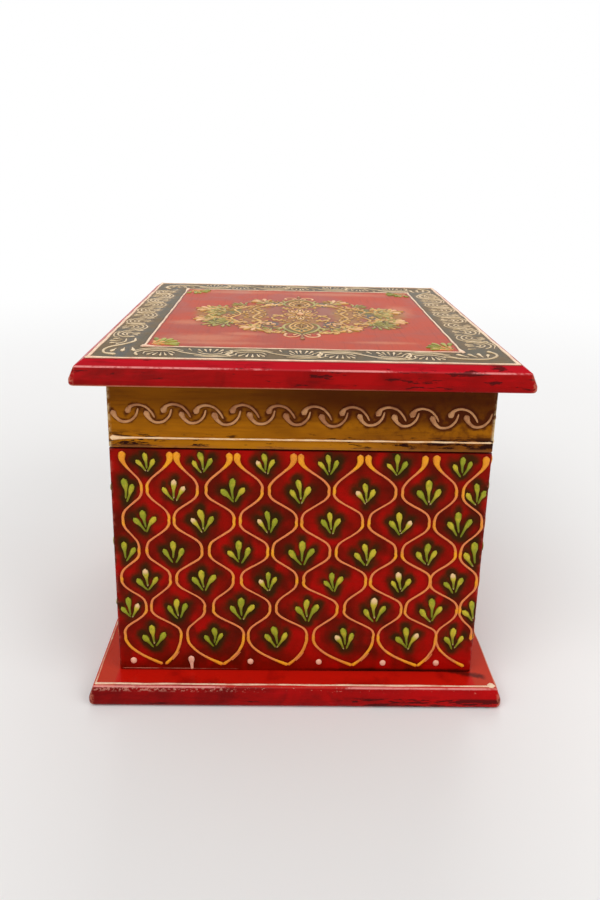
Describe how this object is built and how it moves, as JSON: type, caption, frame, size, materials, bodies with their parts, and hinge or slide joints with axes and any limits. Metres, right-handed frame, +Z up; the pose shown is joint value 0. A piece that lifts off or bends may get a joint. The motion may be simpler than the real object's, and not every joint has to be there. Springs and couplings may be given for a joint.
{
  "type": "hinged wooden box",
  "caption": "Square painted wooden keepsake box on a moulded base slab, with a lid that swings back on two brass hinges.",
  "frame": {"origin": "middle of the base slab's underside", "axes": "+Z up out of the lid, the front faces -Y, the hinges are at +Y, +X to the right seen from the front"},
  "size_m": [0.1536, 0.1536, 0.1325],
  "materials": {
    "red_paint": "dark red gloss paint on wood, with raised painted lines",
    "edge_paint": "bright red gloss paint on wood, worn at the edges",
    "gold_paint": "ochre gold satin paint on wood",
    "velvet": "short pile dark red cloth",
    "brass": "plain rolled brass, a little dull",
    "steel": "plain steel wire and screws"
  },
  "bodies": {
    "box": {"base_plate": "edge_paint", "front_wall": "red_paint", "back_wall": "red_paint", "left_wall": "red_paint", "right_wall": "red_paint", "floor_lining": "velvet", "front_wall_lining": "velvet", "back_wall_lining": "velvet", "left_wall_lining": "velvet", "right_wall_lining": "velvet", "left_hinge_body_leaf": "brass", "right_hinge_body_leaf": "brass", "left_body_leaf_screw_1": "brass", "left_body_leaf_screw_2": "brass", "right_body_leaf_screw_1": "brass", "right_body_leaf_screw_2": "brass", "left_hinge_pin": "steel", "right_hinge_pin": "steel", "base_screw_1": "steel", "base_screw_2": "steel", "base_screw_3": "steel", "base_screw_4": "steel", "wall_pin_1": "steel", "wall_pin_2": "steel", "wall_pin_3": "steel", "wall_pin_4": "steel", "wall_pin_5": "steel", "wall_pin_6": "steel", "wall_pin_7": "steel", "wall_pin_8": "steel"},
    "lid": {"lid_panel": "edge_paint", "lid_frame_front": "gold_paint", "lid_frame_back": "gold_paint", "lid_frame_left": "gold_paint", "lid_frame_right": "gold_paint", "lid_lining": "velvet", "lid_front_lining": "velvet", "lid_back_lining": "velvet", "lid_left_lining": "velvet", "lid_right_lining": "velvet", "left_hinge_lid_leaf": "brass", "right_hinge_lid_leaf": "brass", "left_lid_leaf_screw_1": "brass", "left_lid_leaf_screw_2": "brass", "right_lid_leaf_screw_1": "brass", "right_lid_leaf_screw_2": "brass", "lid_frame_pin_1": "steel", "lid_frame_pin_2": "steel", "lid_frame_pin_3": "steel", "lid_frame_pin_4": "steel"}
  },
  "joints": [
    {"name": "lid_hinge", "type": "hinge", "parent": "box", "child": "lid", "pos_m": [0, 0.06885, 0.0989], "axis": [-1, 0, 0], "range_deg": [0, 165]}
  ]
}
